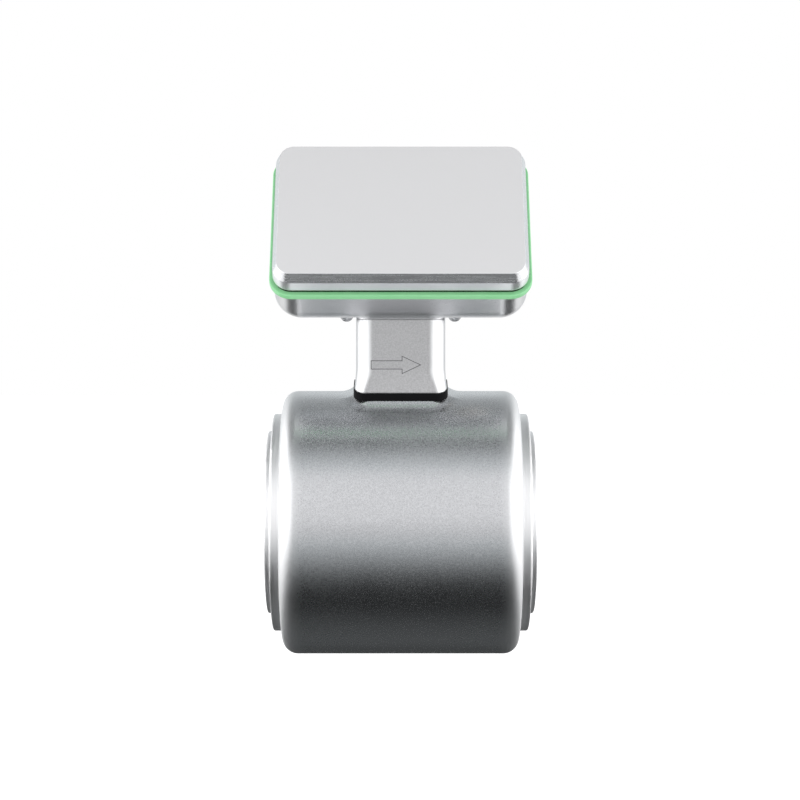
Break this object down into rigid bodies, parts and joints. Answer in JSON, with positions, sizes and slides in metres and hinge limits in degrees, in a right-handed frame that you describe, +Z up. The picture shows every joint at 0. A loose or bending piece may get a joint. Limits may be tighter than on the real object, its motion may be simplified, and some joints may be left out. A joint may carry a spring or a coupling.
{
  "type": "electromagnetic flow meter",
  "caption": "Pipe flow meter with a satin steel drum on the pipe axis and a tilted, blind transmitter head on a short neck.",
  "frame": {"origin": "centre of the bore, midway between the end faces", "axes": "+X along the bore in the direction of flow, +Z up through the neck to the head, the front cover looks towards -Y and up"},
  "size_m": [0.1324, 0.131, 0.2516],
  "materials": {
    "drum_steel": "fine satin",
    "flange_steel": "turned",
    "ring_steel": "turned, bright",
    "screw_steel": "plain",
    "tube_steel": "drawn",
    "neck_steel": "bead blasted",
    "shell_steel": "bead blasted",
    "cover_steel": "satin face, brushed bevel",
    "light_guide": "translucent, lit green",
    "liner_plastic": "smooth moulded",
    "insulator_plastic": "moulded",
    "gasket_rubber": "matt",
    "magnet_iron": "machined, oiled",
    "winding_copper": "enamelled wire",
    "board_laminate": "solder mask",
    "chip_plastic": "moulded",
    "lamp_plastic": "clear moulding",
    "connector_metal": "nickel plated",
    "pin_gold": "gold plated"
  },
  "bodies": {
    "root": {"board_components": "chip_plastic", "board_screws": "screw_steel", "board_standoffs": "connector_metal", "coil_former_lower": "insulator_plastic", "coil_former_upper": "insulator_plastic", "coil_winding_lower": "winding_copper", "coil_winding_upper": "winding_copper", "connector_body": "connector_metal", "connector_insert": "insulator_plastic", "connector_nut": "connector_metal", "connector_pins": "pin_gold", "core_screw_lower": "screw_steel", "core_screw_upper": "screw_steel", "cover_screws": "screw_steel", "cover_seal": "gasket_rubber", "drum_shell": "drum_steel", "earthing_ring_inlet": "ring_steel", "earthing_ring_outlet": "ring_steel", "electrode_front": "ring_steel", "electrode_insulator_front": "insulator_plastic", "electrode_insulator_rear": "insulator_plastic", "electrode_nut_front": "screw_steel", "electrode_nut_rear": "screw_steel", "electrode_rear": "ring_steel", "electrode_washer_front": "screw_steel", "electrode_washer_rear": "screw_steel", "end_flange_inlet": "flange_steel", "end_flange_outlet": "flange_steel", "front_cover": "cover_steel", "joint_screws": "screw_steel", "led_board": "board_laminate", "led_board_screws": "screw_steel", "light_ring": "light_guide", "liner": "liner_plastic", "main_board": "board_laminate", "measuring_tube": "tube_steel", "neck_column": "neck_steel", "neck_gasket": "gasket_rubber", "neck_screws": "screw_steel", "neck_top_seal": "gasket_rubber", "pole_piece_lower": "magnet_iron", "pole_piece_upper": "magnet_iron", "process_seal_inlet": "gasket_rubber", "process_seal_outlet": "gasket_rubber", "rear_shell": "shell_steel", "ring_screws_inlet": "screw_steel", "ring_screws_outlet": "screw_steel", "sensor_board": "board_laminate", "sensor_board_screws": "screw_steel", "status_leds": "lamp_plastic", "yoke_front": "magnet_iron", "yoke_rear": "magnet_iron"}
  },
  "joints": []
}
